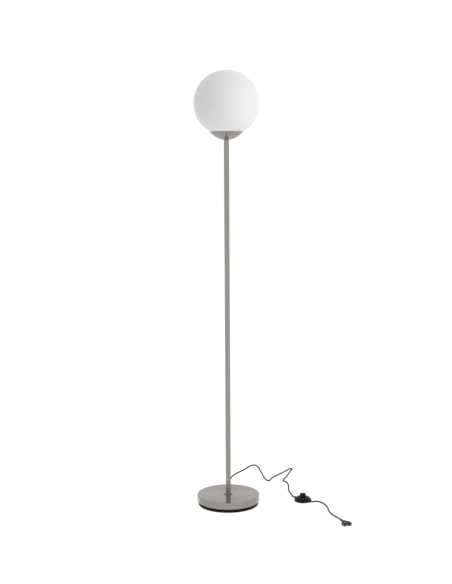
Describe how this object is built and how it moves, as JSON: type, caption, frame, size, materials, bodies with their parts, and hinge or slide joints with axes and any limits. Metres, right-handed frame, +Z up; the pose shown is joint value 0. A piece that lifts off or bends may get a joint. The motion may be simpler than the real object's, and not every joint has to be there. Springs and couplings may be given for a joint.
{
  "type": "globe floor lamp",
  "caption": "Floor lamp: opal glass globe in a small metal cup on a slim round pole and a weighted disc base, with a lead, a foot switch and a plug.",
  "frame": {"origin": "centre of the base's underside, on the floor", "axes": "+Z up along the pole, -Y towards the viewer of the picture, +X to the viewer's right"},
  "size_m": [0.5816, 0.8159, 1.688],
  "materials": {
    "brushed_steel": "satin, fine circular and lengthwise brushing",
    "cast_iron": "rough, black primed",
    "black_plastic": "fine matt grain",
    "rubber": "matt",
    "zinc_steel": "zinc plated",
    "spring_steel": "bright spring steel",
    "brass": "plain turned brass",
    "ceramic": "glazed white",
    "opal_glass": "glossy white opal",
    "bulb_opal": "soft white",
    "bulb_metal": "bright rolled thread",
    "solder": "dull solder",
    "cord_jacket": "smooth, slightly glossy",
    "switch_plastic": "smooth, glossy",
    "plug_plastic": "fine moulded grain",
    "nickel_brass": "nickel plated brass"
  },
  "bodies": {
    "stand": {"base_cover": "brushed_steel", "cup": "brushed_steel", "pole_flange": "brushed_steel", "pole_lower": "brushed_steel", "pole_middle": "brushed_steel", "pole_upper": "brushed_steel", "base_weight": "cast_iron", "base_tray": "black_plastic", "base_pads": "rubber", "cord_grommet": "rubber", "switch_feet": "rubber", "base_screws": "zinc_steel", "base_bolt": "zinc_steel", "base_washer": "zinc_steel", "pole_foot_plug": "zinc_steel", "lower_coupler": "zinc_steel", "upper_coupler": "zinc_steel", "pole_top_plug": "zinc_steel", "top_nipple": "zinc_steel", "cup_washer": "zinc_steel", "cup_nut": "zinc_steel", "clip_plate": "zinc_steel", "clip_rivets": "zinc_steel", "spring_clips": "spring_steel", "switch_spring": "spring_steel", "holder_screws": "brass", "holder_thread": "brass", "holder_contact": "brass", "holder_cap": "black_plastic", "holder_shell": "black_plastic", "holder_insert": "ceramic", "pole_cord": "cord_jacket", "cord_to_switch": "cord_jacket", "cord_to_plug": "cord_jacket", "switch_leads": "cord_jacket", "switch_housing": "switch_plastic", "switch_plate": "switch_plastic", "switch_screws": "zinc_steel", "cord_clamps": "zinc_steel", "switch_terminals": "brass", "terminal_screws": "zinc_steel", "switch_contacts": "brass", "plug_body": "plug_plastic", "plug_relief": "plug_plastic", "plug_pins": "nickel_brass"},
    "globe": {"globe_glass": "opal_glass"},
    "bulb_tip": {"bulb_contact": "solder"},
    "bulb": {"bulb_cap": "bulb_metal", "bulb_glass": "bulb_opal"},
    "button": {"switch_button": "switch_plastic"}
  },
  "joints": [
    {"name": "switch_button_press", "type": "slide", "parent": "stand", "child": "button", "axis": [0, 0, -1], "range_m": [0, 0.004], "stiffness_N_per_m": 800, "springref_m": -0.002, "deforming": ["switch_spring"]},
    {"name": "globe_lift", "type": "slide", "parent": "stand", "child": "globe", "axis": [0, 0, 1], "range_m": [0, 0.16]},
    {"name": "bulb_rise", "type": "slide", "parent": "stand", "child": "bulb_tip", "axis": [0, 0, 1], "range_m": [0, 0.0145]},
    {"name": "bulb_unscrew", "type": "hinge", "parent": "bulb_tip", "child": "bulb", "pos_m": [0, 0, 1.473], "axis": [0, 0, 1], "range_deg": [0, 1440]}
  ],
  "couplings": [
    {"joint": "bulb_unscrew", "follows": "bulb_rise", "rad_per_m": 1731.4}
  ]
}
